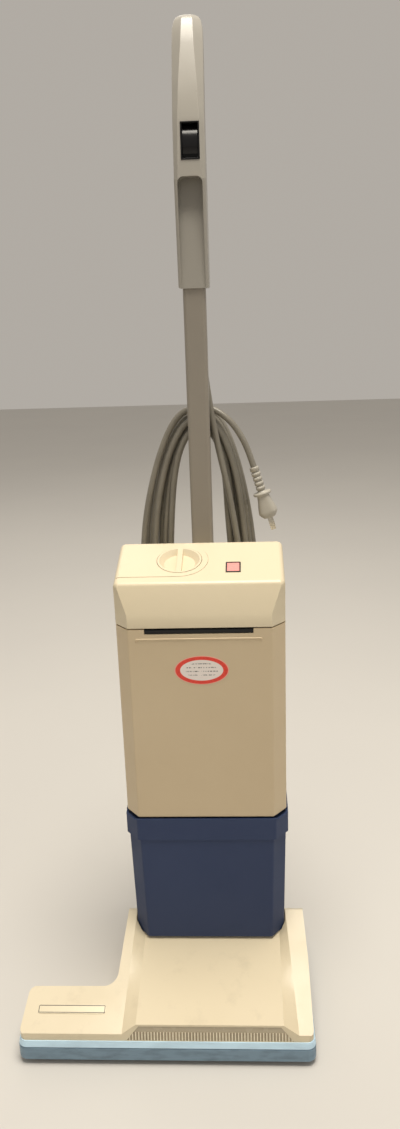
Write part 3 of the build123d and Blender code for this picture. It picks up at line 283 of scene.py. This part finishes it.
def bumper_material():
    """Soft vinyl: painted light on the upper slope, painted shade with scuffs below the groove."""
    n = Nodes("bumper_vinyl")
    # painted shade with random scuffs below the groove, painted light above it, split by height
    painted_shade_lower_scuffed = n.mix(n.band(n.noise(45, 5, (1, 1, 3)), 0.45, 0.75), SKY, SKY_DEEP)
    painted_light_upper = n.mix(n.band(n.noise(22, 4, (1, 1, 4)), 0.45, 0.9), SKY_PAINTED_LIGHT, (0.45, 0.60, 0.72))
    n.set(Base_Color=n.mix(n.band(n.axis("Z"), 0.0242, 0.0252), painted_shade_lower_scuffed, painted_light_upper))
    n.set(Roughness=n.band(n.noise(30, 4), 0.3, 0.7, 0.40, 0.58))
    n.bump(n.noise(900, 3), 0.15, 0.0003)
    return n.material


RIB_PITCH, FIRST_RIB_X = 0.0037, -0.0905


def lens_material():
    """Moulded lamp window: pale upright ribs with painted shade in the grooves between them."""
    n = Nodes("ribbed_lens")
    from_first = n.math("SUBTRACT", n.axis("X"), at(FIRST_RIB_X, 0, 0).x - RIB_PITCH)
    phase = n.math("FRACT", n.math("DIVIDE", from_first, RIB_PITCH))
    rib = n.math("MULTIPLY", n.band(phase, 0.0, 0.10), n.band(phase, 0.38, 0.5, 1.0, 0.0))
    below = n.band(n.axis("Z"), 0.0432, 0.0438, 1.0, 0.0)
    # painted shade: darker colour in the grooves between the ribs
    groove_painted_shade = n.mix(n.band(n.noise(60, 4), 0.35, 0.7), (0.30, 0.245, 0.16), (0.40, 0.33, 0.22))
    ribs = n.mix(n.band(n.noise(240, 3), 0.3, 0.7), (0.86, 0.78, 0.60), (0.72, 0.63, 0.46))
    plain = n.mix(n.noise(40, 3), (0.40, 0.34, 0.235), (0.50, 0.43, 0.31))
    n.set(Base_Color=n.mix(below, plain, n.mix(rib, groove_painted_shade, ribs)))
    n.set(Roughness=n.band(n.noise(90, 4), 0.3, 0.7, 0.16, 0.32), Coat_Weight=0.4, Coat_Roughness=0.12)
    return n.material


def bulb_material():
    """Clear, slightly warm lamp glass."""
    n = Nodes("bulb_glass")
    n.set(Base_Color=n.mix(n.noise(200, 2), (0.95, 0.92, 0.82), (0.88, 0.82, 0.66)))
    n.set(Roughness=0.08, Transmission_Weight=0.8, IOR=1.5)
    return n.material


def oval(n, centre, half_x, half_z):
    """Distance from an oval's middle: 1 on its edge."""
    x = n.math("DIVIDE", n.math("SUBTRACT", n.axis("X"), centre.x), half_x)
    z = n.math("DIVIDE", n.math("SUBTRACT", n.axis("Z"), centre.z), half_z)
    return n.math("SQRT", n.math("ADD", n.math("MULTIPLY", x, x), n.math("MULTIPLY", z, z)))


def label_material():
    """A service sticker: red border round a pale field with plain ruled lines."""
    n = Nodes("oval_sticker")
    low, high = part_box("oval_label")
    middle, half = (low + high) / 2, (high - low) / 2
    ring = oval(n, middle, half.x, half.z)
    inner = oval(n, middle, half.x * 0.79, half.z * 0.73)
    rule = n.math("FRACT", n.math("DIVIDE", n.math("SUBTRACT", n.axis("Z"), low.z), half.z * 0.265))
    line = n.band(n.math("ABSOLUTE", n.math("SUBTRACT", rule, 0.5)), 0.12, 0.16, 1.0, 0.0)
    painted_light_upper = n.band(n.noise(700, 3, (1, 1, 0.2)), 0.46, 0.56)
    field = n.band(oval(n, middle, half.x * 0.62, half.z * 0.56), 0.96, 1.0, 1.0, 0.0)
    ink = n.math("MULTIPLY", n.math("MULTIPLY", line, painted_light_upper), field)
    pale = n.mix(n.math("MULTIPLY", ink, 0.9), (0.86, 0.79, 0.74), (0.07, 0.06, 0.06))
    red = n.mix(n.band(n.noise(500, 4), 0.4, 0.7), (0.84, 0.062, 0.035), (0.68, 0.04, 0.025))
    body = n.mix(n.band(inner, 0.99, 1.01), pale, red)
    edge = n.mix(n.band(ring, 0.955, 0.975), body, (0.86, 0.42, 0.34))
    n.set(Base_Color=edge, Roughness=0.32)
    n.bump(n.noise(300, 3), 0.05, 0.0002)
    return n.material


def badge_material():
    """A blank name plate: cream field, dark outline."""
    n = Nodes("blank_badge")
    low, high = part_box("badge_plate")
    middle, half = (low + high) / 2, (high - low) / 2
    x = n.math("ABSOLUTE", n.math("SUBTRACT", n.axis("X"), middle.x))
    y = n.math("ABSOLUTE", n.math("SUBTRACT", n.axis("Y"), middle.y))
    edge_x = n.math("SUBTRACT", half.x, x)
    edge_y = n.math("SUBTRACT", half.y, y)
    inside = n.math("MINIMUM", edge_x, edge_y)
    outer = n.math("MULTIPLY", n.band(inside, 0.0007, 0.0009), n.band(inside, 0.0015, 0.0017, 1.0, 0.0))
    n.set(Base_Color=n.mix(outer, (0.70, 0.62, 0.45), (0.035, 0.033, 0.03)))
    n.set(Roughness=0.3, Metallic=0.1)
    n.bump(n.noise(600, 3), 0.08, 0.0002)
    return n.material


# ---- softened shells ----------------------------------------------------------------
# how far each piece's hard edges are rounded, in millimetres
SOFT_EDGES = {"base_cover": 1.6, "bumper": 1.2, "top_cover": 1.2, "bag_door": 1.0, "bag_housing": 1.0,
              "motor_housing_front": 0.9, "motor_housing_rear": 0.9, "access_cover": 0.5,
              "selector_knob": 0.8, "grip_front": 0.7, "grip_rear": 0.7, "door_latch": 0.5,
              "rocker_switch": 0.8, "switch_frame": 0.4, "release_pedal": 1.0, "tube_brackets": 0.8,
              "upper_cord_hook": 1.0, "lower_cord_hook": 1.0, "indicator_bezel": 0.3,
              "indicator_lens": 0.6, "exhaust_grille": 0.4, "rear_wheel_left": 0.5,
              "rear_wheel_right": 0.5}
BEVEL_SEGMENTS, BEVEL_ANGLE = 3, radians(28)
MERGE_DISTANCE, FLAT_ANGLE = 0.00001, radians(0.6)


def softened(node, width):
    """A copy of a CAD shell with its hard edges rounded, which stands for the node."""
    source = frame["nodes"][node]
    mesh = source.data.copy()
    piece = bpy.data.objects.new(node + "_soft", mesh)
    scene.collection.objects.link(piece)
    shape = bmesh.new()
    shape.from_mesh(mesh)
    bmesh.ops.remove_doubles(shape, verts=shape.verts, dist=MERGE_DISTANCE)
    bmesh.ops.dissolve_limit(shape, angle_limit=FLAT_ANGLE, verts=shape.verts, edges=shape.edges)
    shape.to_mesh(mesh)
    shape.free()
    bevel = piece.modifiers.new("round", "BEVEL")
    bevel.width, bevel.segments, bevel.limit_method = width, BEVEL_SEGMENTS, "ANGLE"
    bevel.angle_limit = BEVEL_ANGLE
    bevel.harden_normals = False
    bevel.use_clamp_overlap = True
    bevel.miter_outer = "MITER_ARC"
    for polygon in mesh.polygons:
        polygon.use_smooth = True
    weighted = piece.modifiers.new("normals", "WEIGHTED_NORMAL")
    weighted.keep_sharp = True
    # the bag door takes the darker cream copy, which is painted shade
    dress(piece, DOOR_PAINTED_SHADE if node == "bag_door" else MATERIALS[SLOTS[node]])
    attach(piece, BODY_OF[node])
    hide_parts(node)
    return piece


def dress(piece, material):
    """Gives a piece its one material."""
    piece.data.materials.clear()
    piece.data.materials.append(material)


# ---- cord ---------------------------------------------------------------------------
CORD_RADIUS, CORD_Y = 0.004, 0.2775
LEAD_ROUTE = [(0.006, 0.279, 0.846), (0.006, 0.279, 0.812), (0.012, CORD_Y, 0.756), (0.021, CORD_Y, 0.700),
              (0.033, CORD_Y, 0.645), (0.042, CORD_Y, 0.590), (0.050, CORD_Y, 0.530),
              (0.053, CORD_Y, 0.470), (0.051, CORD_Y, 0.415)]
TAIL_ROUTE = [(0.038, CORD_Y, 0.728), (0.050, CORD_Y, 0.711), (0.060, CORD_Y, 0.691),
              (0.067, CORD_Y - 0.001, 0.668)]
# one turn of the hank (x, z), from low on the right side clockwise seen from the front
LOOP_INNER = [(0.041, 0.322), (0.027, 0.276), (0, 0.262), (-0.027, 0.276), (-0.041, 0.322), (-0.047, 0.400),
              (-0.049, 0.500), (-0.046, 0.590), (-0.036, 0.668), (-0.018, 0.710), (0, 0.719), (0.018, 0.710),
              (0.033, 0.668), (0.040, 0.590), (0.046, 0.500), (0.044, 0.400)]
LOOP_OUTER = [(0.062, 0.310), (0.042, 0.247), (0, 0.242), (-0.042, 0.247), (-0.067, 0.310), (-0.076, 0.400),
              (-0.079, 0.500), (-0.077, 0.590), (-0.056, 0.680), (-0.028, 0.738), (0, 0.744), (0.026, 0.738),
              (0.050, 0.680), (0.067, 0.590), (0.072, 0.500), (0.070, 0.400)]
LAYERS = (0.2855, 0.2918, 0.2980)       # depth of the turns, which lie three deep on the hooks
ON_THE_HOOKS = (1, 2, 3, 9, 10, 11)     # corners of a turn that the hooks hold
BESIDE_THE_HOOKS = (0, 4, 8, 12)
FAN_LEFT = (-0.10, 0.14, 0.32, 0.56, 0.72, 0.90, 1.08)      # how far out each turn hangs
FAN_RIGHT = (-0.25, 0.0, 0.22, 0.50, 0.66, 0.84, 1.0)


def fan(turn_number, corner):
    """How far out a turn lies at one of its points: even on the hooks, fanned at the sides."""
    last = len(FAN_LEFT) - 1
    even = turn_number / last
    side = (FAN_LEFT if 4 <= corner <= 8 else FAN_RIGHT)[min(turn_number, last)]
    if corner in ON_THE_HOOKS:
        return even
    return even + (side - even) * (0.5 if corner in BESIDE_THE_HOOKS else 1.0)


def cord_route():
    """The lead, the loops over both hooks from the inside out, and the tail."""
    route = [at(*point) for point in LEAD_ROUTE]
    route.append(at(0.049, 0.283, 0.365))
    points = len(LOOP_INNER)
    for step in range(len(FAN_LEFT) * points - 5):
        turn_number, corner = step // points, step % points
        part = fan(turn_number, corner)
        one, two = LOOP_INNER[corner], LOOP_OUTER[corner]
        x = one[0] + (two[0] - one[0]) * part + 0.0008 * sin(step * 1.9)
        z = one[1] + (two[1] - one[1]) * part
        route.append(at(x, LAYERS[turn_number % len(LAYERS)], z))
    route.append(at(0.018, 0.284, 0.742))
    return route + [at(*point) for point in TAIL_ROUTE]


def make_cord(pieces):
    """The mains cord as one curve; the plug and the boot that lie on it are passed in but not used."""
    curve = bpy.data.curves.new("power_cord", "CURVE")
    curve.dimensions = "3D"
    curve.bevel_depth = CORD_RADIUS
    curve.bevel_resolution = 5
    curve.resolution_u = 6
    curve.use_fill_caps = True
    spline = curve.splines.new("NURBS")
    route = cord_route()
    spline.points.add(len(route) - 1)
    for point, place in zip(spline.points, route):
        point.co = (*place, 1.0)
    spline.order_u = 3
    spline.use_endpoint_u = True
    cord = bpy.data.objects.new("power_cord", curve)
    scene.collection.objects.link(cord)
    cord.data.materials.append(MATERIALS["cord"])
    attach(cord, "upright")
    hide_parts("cord_lead", "cord_hank", "cord_tail")


X_WAY, Y_WAY = Vector((1, 0, 0)), Vector((0, 1, 0))


# ---- plug and strain relief ---------------------------------------------------------
def ring_shape(mesh, centre, across, deep, half_wide, half_deep, power, steps=48):
    """One closed ring of a lofted piece: a circle (power 2) up to a soft rectangle (power 5)."""
    ring = []
    for step in range(steps):
        angle = 2 * pi * step / steps
        c, d = cos(angle), sin(angle)
        x = half_wide * (abs(c) ** (2 / power)) * (1 if c >= 0 else -1)
        y = half_deep * (abs(d) ** (2 / power)) * (1 if d >= 0 else -1)
        ring.append(mesh.verts.new(centre + across * x + deep * y))
    return ring


def skin(shape, pairs):
    """Faces between each ring and the next."""
    for one, two in pairs:
        for step in range(len(one)):
            following = (step + 1) % len(one)
            shape.faces.new((one[step], one[following], two[following], two[step]))


def lofted(name, rings_wanted, node, closed=False):
    """A piece skinned over rings (centre, across, deep, half_wide, half_deep, power)."""
    shape = bmesh.new()
    rings = [ring_shape(shape, *wanted) for wanted in rings_wanted]
    skin(shape, zip(rings, rings[1:]))
    if closed:
        skin(shape, [(rings[-1], rings[0])])
    else:
        shape.faces.new(list(reversed(rings[0])))
        shape.faces.new(rings[-1])
    bmesh.ops.recalc_face_normals(shape, faces=shape.faces)
    return finished(shape, name, node)


def finished(shape, name, node, smooth=True):
    """A piece made from a bmesh, with the material and slot of the CAD node that it stands for."""
    mesh = bpy.data.meshes.new(name)
    shape.to_mesh(mesh)
    shape.free()
    if smooth:
        mesh.polygons.foreach_set("use_smooth", [True] * len(mesh.polygons))
    piece = bpy.data.objects.new(name, mesh)
    scene.collection.objects.link(piece)
    dress(piece, MATERIALS[SLOTS[node]])
    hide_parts(node)
    return piece


# rings of the plug in millimetres: (distance along, half width, half depth, squareness)
RELIEF_TIP = [(0.0, 4.3, 4.3, 2), (0.4, 5.7, 5.7, 2)]
SEGMENTS, RELIEF_START, SEGMENT_PITCH = 5, 1.2, 6.2
COLLAR = [(33.2, 6.0, 6.0, 2), (33.8, 11.0, 11.0, 2.2), (34.4, 11.6, 11.6, 2.2), (36.4, 11.6, 11.6, 2.2),
          (37.0, 11.0, 11.0, 2.2)]
PLUG_BODY = [(37.3, 7.9, 9.8, 3.0), (38.5, 7.8, 9.8, 3.2), (44.0, 8.6, 10.4, 3.4), (52.0, 10.6, 11.6, 3.6),
             (58.5, 12.0, 12.4, 3.8), (61.0, 12.1, 12.5, 3.8), (64.0, 10.2, 11.6, 3.6),
             (66.4, 8.4, 10.8, 3.4), (67.0, 7.6, 10.2, 3.4)]


def make_plug():
    """Moulded plug: a segmented relief, a thin collar and a body that flares to its face."""
    top = at(*TAIL_ROUTE[-1])
    ahead = (top - at(*TAIL_ROUTE[-2])).normalized()
    deep = (Vector((0, 1, 0)) - ahead * ahead.y).normalized()
    across = ahead.cross(deep).normalized()
    rings = RELIEF_TIP[:]
    for segment in range(SEGMENTS):
        low = RELIEF_START + segment * SEGMENT_PITCH
        rings += [(low, 5.9, 5.9, 2), (low + 4.2, 5.8, 5.8, 2), (low + 4.5, 4.6, 4.6, 2),
                  (low + 5.9, 4.6, 4.6, 2), (low + SEGMENT_PITCH, 5.9, 5.9, 2)]
    rings += COLLAR + PLUG_BODY
    placed = [(top + ahead * along / 1000, across, deep, wide / 1000, thick / 1000, power)
              for along, wide, thick, power in rings]
    plug = lofted("plug_moulding", placed, "plug_body")
    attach(plug, "upright")
    return plug


# the boot: radii in millimetres, its shoulder below the top in metres
BOOT_RIBS, BOOT_RADIUS, RIB_DEPTH = 6, 5.9, 1.0
BOOT_SHOULDER = 0.0085


def make_strain_relief():
    """The ribbed boot where the cord leaves the foot of the grip."""
    low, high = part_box("strain_relief")
    middle = (low + high) / 2
    rings = [(high.z, 4.4), (high.z - 0.0078, 4.5), (high.z - 0.0079, BOOT_RADIUS)]
    length = high.z - BOOT_SHOULDER - low.z
    for segment in range(BOOT_RIBS):
        z = high.z - BOOT_SHOULDER - length * segment / BOOT_RIBS
        radius = BOOT_RADIUS - segment / BOOT_RIBS
        rings += [(z, radius), (z - length * 0.10, radius), (z - length * 0.11, radius - RIB_DEPTH),
                  (z - length * 0.155, radius - RIB_DEPTH), (z - length * 0.16, radius - 0.1)]
    rings += [(low.z, 4.7)]
    placed = [(Vector((middle.x, middle.y, z)), X_WAY, Y_WAY, radius / 1000, radius / 1000, 2)
              for z, radius in rings]
    boot = lofted("cord_boot", placed, "strain_relief")
    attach(boot, "upright")
    return boot


# ---- soft and fine parts inside -----------------------------------------------------
FOLDS, FOLD_STEPS, FOLD_DEPTH = 9, 8, 0.0022
HOSE_CLEARANCE, HOSE_WALL, HOSE_CUFF = 0.0004, 0.0011, 0.003


def make_hose():
    """Corrugated vinyl hose between the nozzle duct and the upright."""
    low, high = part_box("suction_hose")
    middle = (low + high) / 2
    outer = (high.x - low.x) / 2 - HOSE_CLEARANCE
    profile = []
    for step in range(FOLDS * FOLD_STEPS + 1):
        part = step / (FOLDS * FOLD_STEPS)
        wave = 0.5 - 0.5 * cos(2 * pi * FOLDS * part)
        profile.append((low.z + (high.z - low.z) * part, outer - FOLD_DEPTH + FOLD_DEPTH * wave))
    inside = [(z, radius - HOSE_WALL) for z, radius in reversed(profile)]
    placed = [(Vector((middle.x, middle.y, z)), X_WAY, Y_WAY, radius, radius, 2)
              for z, radius in profile + inside]
    hose = lofted("corrugated_hose", placed, "suction_hose", closed=True)
    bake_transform(hose)


WIRE_RADIUS, WIRE_SIDES, COILS, COIL_STEPS = 0.0004, 8, 5, 24


def make_latch_spring():
    """A small steel coil for the latch bar."""
    low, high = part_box("latch_spring")
    middle = (low + high) / 2
    radius = (high.x - low.x) / 2 - WIRE_RADIUS
    length = high.y - low.y - 2 * WIRE_RADIUS
    shape = bmesh.new()
    rings = []
    for step in range(COILS * COIL_STEPS + 1):
        part, angle = step / (COILS * COIL_STEPS), 2 * pi * step / COIL_STEPS
        out = Vector((cos(angle), 0, sin(angle)))
        along = low.y + WIRE_RADIUS + length * part - middle.y
        centre = middle + out * radius + Y_WAY * along
        ring = []
        for side in range(WIRE_SIDES):
            turn = 2 * pi * side / WIRE_SIDES
            ring.append(shape.verts.new(centre + (out * cos(turn) + Y_WAY * sin(turn)) * WIRE_RADIUS))
        rings.append(ring)
    skin(shape, zip(rings, rings[1:]))
    shape.faces.new(rings[0])
    shape.faces.new(list(reversed(rings[-1])))
    bmesh.ops.recalc_face_normals(shape, faces=shape.faces)
    spring = finished(shape, "coil_spring", "latch_spring", smooth=False)
    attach(spring, BODY_OF["latch_spring"])
    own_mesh(spring)


TUFTS, TUFT_ROWS, TUFT_PITCH, TUFT_RADIUS = 13, 4, 0.024, 0.0026
ROW_TWIST = 150                         # degrees that a row winds round the roll
STRANDS, STRAND_RADIUS, STRAND_FOOT, SPREAD = 24, 0.00022, 0.0150, 0.0023
GOLDEN_ANGLE = 2.39996                  # spreads the strands evenly over a tuft


def make_bristles():
    """Tufts of tapered nylon strands set in two spirals round the brush roll."""
    box_low, box_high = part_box("brush_bristles")
    centre_y, centre_z = (box_low.y + box_high.y) / 2, (box_low.z + box_high.z) / 2
    reach = (box_high.z - box_low.z) / 2
    first = box_low.x + TUFT_RADIUS
    shape = bmesh.new()
    for row in range(TUFT_ROWS):
        for step in range(TUFTS):
            angle = radians(row * 90 + ROW_TWIST * step / (TUFTS - 1))
            out = Vector((0, -sin(angle), cos(angle)))
            side = Vector((0, cos(angle), sin(angle)))
            foot = Vector((first + TUFT_PITCH * step, centre_y, centre_z))
            for strand in range(STRANDS):
                turn, ring = strand * GOLDEN_ANGLE, SPREAD * sqrt((strand + 0.5) / STRANDS)
                spread = Vector((1, 0, 0)) * cos(turn) * ring + side * sin(turn) * ring
                tip = foot + out * (reach - 0.0006 - 0.0005 * (strand % 3)) + spread * 1.15
                base = foot + out * STRAND_FOOT + spread * 0.8
                strand_prism(shape, base, tip, STRAND_RADIUS)
    bristles = finished(shape, "bristle_strands", "brush_bristles", smooth=False)
    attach(bristles, "brush")


def strand_prism(shape, base, tip, radius):
    """One strand: a slim three-sided prism that narrows to its tip."""
    along = (tip - base).normalized()
    side = along.orthogonal().normalized()
    other = along.cross(side)
    low, high = [], []
    for corner in range(3):
        angle = 2 * pi * corner / 3
        way = side * cos(angle) + other * sin(angle)
        low.append(shape.verts.new(base + way * radius))
        high.append(shape.verts.new(tip + way * radius * 0.6))
    for corner in range(3):
        following = (corner + 1) % 3
        shape.faces.new((low[corner], low[following], high[following], high[corner]))
    shape.faces.new(high)
    shape.faces.new(list(reversed(low)))


BAG_MARGIN, BAG_CUTS = 0.001, 40


def bag_point(x, y, z, half):
    """Where a point of the unit cube lies on the part-filled bag."""
    crown = (1 - x ** 4) * (1 - z ** 6)
    tuck = max(0.0, 1 - abs(y) * 3.2) * (1 - z ** 8) if abs(x) > 0.97 else 0.0
    pull = 1 - 0.10 * abs(z) ** 8 - 0.16 * tuck
    crease = noise.noise(Vector((x * 2.2, y * 1.5, z * 3.4))) * 0.05
    fine = noise.noise(Vector((x * 9, y * 7, z * 12)) + Vector((7, 3, 1))) * 0.014
    fold = 0.012 * sin(z * 17 + x * 3) * (1 - abs(z)) if abs(y) > 0.9 else 0.0
    swell = 0.80 + 0.20 * crown - abs(crease) - abs(fine) - abs(fold)
    end = 1 - 0.05 * (x * x + y * y) * abs(z) ** 4
    return Vector((x * half.x * pull * (1 - abs(fine)), y * half.y * swell, z * half.z * end))


def make_dust_bag():
    """A part-filled paper bag: crowned faces, tucked side gussets and soft creases."""
    low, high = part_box("dust_bag")
    middle, half = (low + high) / 2, (high - low) / 2 - Vector((BAG_MARGIN, BAG_MARGIN, BAG_MARGIN))
    shape = bmesh.new()
    bmesh.ops.create_cube(shape, size=2.0)
    bmesh.ops.subdivide_edges(shape, edges=shape.edges, cuts=BAG_CUTS, use_grid_fill=True)
    for vert in shape.verts:
        vert.co = middle + bag_point(*vert.co, half)
    bag = finished(shape, "paper_bag", "dust_bag")
    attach(bag, BODY_OF["dust_bag"])


# ---- room ---------------------------------------------------------------------------
FLOOR_SIZE, AMBIENT = 14, 0.44


def make_room():
    """A plain pale floor and a soft warm surround."""
    floor_material = Nodes("pale_floor")
    floor_material.set(Base_Color=floor_material.mix(
        floor_material.noise(2, 3), (0.66, 0.64, 0.60), (0.62, 0.60, 0.57)), Roughness=0.75)
    bpy.ops.mesh.primitive_plane_add(size=FLOOR_SIZE, location=(0, 0, 0))
    floor = bpy.context.object
    floor.name = "floor"
    dress(floor, floor_material.material)
    world = bpy.data.worlds.new("studio")
    world.use_nodes = True
    background = world.node_tree.nodes["Background"]
    background.inputs["Color"].default_value = (1.0, 0.93, 0.84, 1)
    background.inputs["Strength"].default_value = AMBIENT
    scene.world = world


def make_light(name, place, target, size, power, colour):
    """A round soft light aimed at a point; its power is in watts."""
    data = bpy.data.lights.new(name, "AREA")
    data.shape, data.size, data.energy, data.color = "DISK", size, power, colour
    light = bpy.data.objects.new(name, data)
    light.location = place
    light.rotation_mode = "QUATERNION"
    light.rotation_quaternion = (Vector(target) - Vector(place)).to_track_quat("-Z", "Y")
    scene.collection.objects.link(light)


def make_lights():
    """A strong ceiling light, a cool window from the right and a little light from behind."""
    make_light("ceiling", (0.25, -0.25, 3.0), (0, 0.1, 0.4), 1.5, 78, (1.0, 0.94, 0.84))
    make_light("window", (2.4, -1.6, 1.8), (0, 0, 0.6), 1.2, 4, (0.86, 0.93, 1.0))
    make_light("back", (-0.8, 2.4, 2.4), (0, 0, 0.6), 1.8, 8, (1.0, 0.97, 0.92))


# ---- build --------------------------------------------------------------------------
SLOTS = {entry["node"]: entry["material_slot"] for entry in frame["record"]["subparts"]}
BODY_OF = {node: body for body, nodes in frame["record"]["behaviour"]["bodies"].items() for node in nodes}

make_camera()
MATERIALS = make_materials()
# darker cream copy for the bag door: painted shade
DOOR_PAINTED_SHADE = moulded("door_plastic_painted_shade", DOOR_SHADE_TONE, DOOR_SHADE_DEEP, 0.44)
make_cord([make_plug(), frame["nodes"]["plug_blades"], make_strain_relief()])
make_hose()
make_latch_spring()
make_bristles()
make_dust_bag()
make_room()
make_lights()
for node, item in frame["nodes"].items():
    dress(item, MATERIALS[SLOTS[node]])
    item.data.polygons.foreach_set("use_smooth", [False] * len(item.data.polygons))
for node, width in SOFT_EDGES.items():
    softened(node, width / 1000)

scene.view_settings.view_transform = "Standard"
